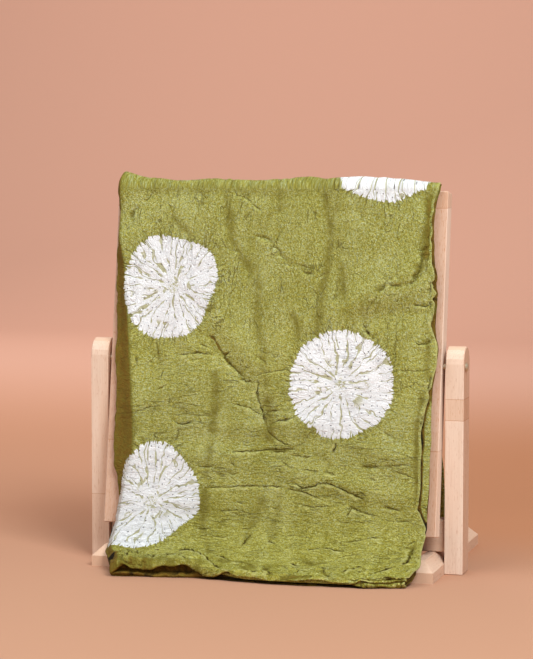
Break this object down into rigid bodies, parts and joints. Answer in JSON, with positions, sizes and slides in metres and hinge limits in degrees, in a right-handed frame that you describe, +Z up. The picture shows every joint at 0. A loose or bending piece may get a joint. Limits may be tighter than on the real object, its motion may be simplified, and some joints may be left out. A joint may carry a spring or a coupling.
{
  "type": "bandhani cloth draped over a wooden tilting board stand",
  "caption": "Resist-dyed cloth folded double both ways and draped over the tilting board of a small wooden table stand.",
  "frame": {"origin": "on the surface it stands on, at the middle of the bounding box", "axes": "+Z up, +Y from the front fall to the back, +X to the right as seen from the front"},
  "size_m": [0.375, 0.2671, 0.3743],
  "materials": {
    "dyed_cloth": "crinkled plain weave, olive green with white tie-dyed roundels",
    "pale_wood": "sanded pale softwood, unvarnished",
    "bolt_metal": "dull metal cap"
  },
  "bodies": {
    "root": {"cloth": "dyed_cloth", "board": "pale_wood", "post_left": "pale_wood", "post_right": "pale_wood", "foot_left": "pale_wood", "foot_right": "pale_wood", "rail": "pale_wood", "bolt_left": "bolt_metal", "bolt_right": "bolt_metal"}
  },
  "joints": []
}
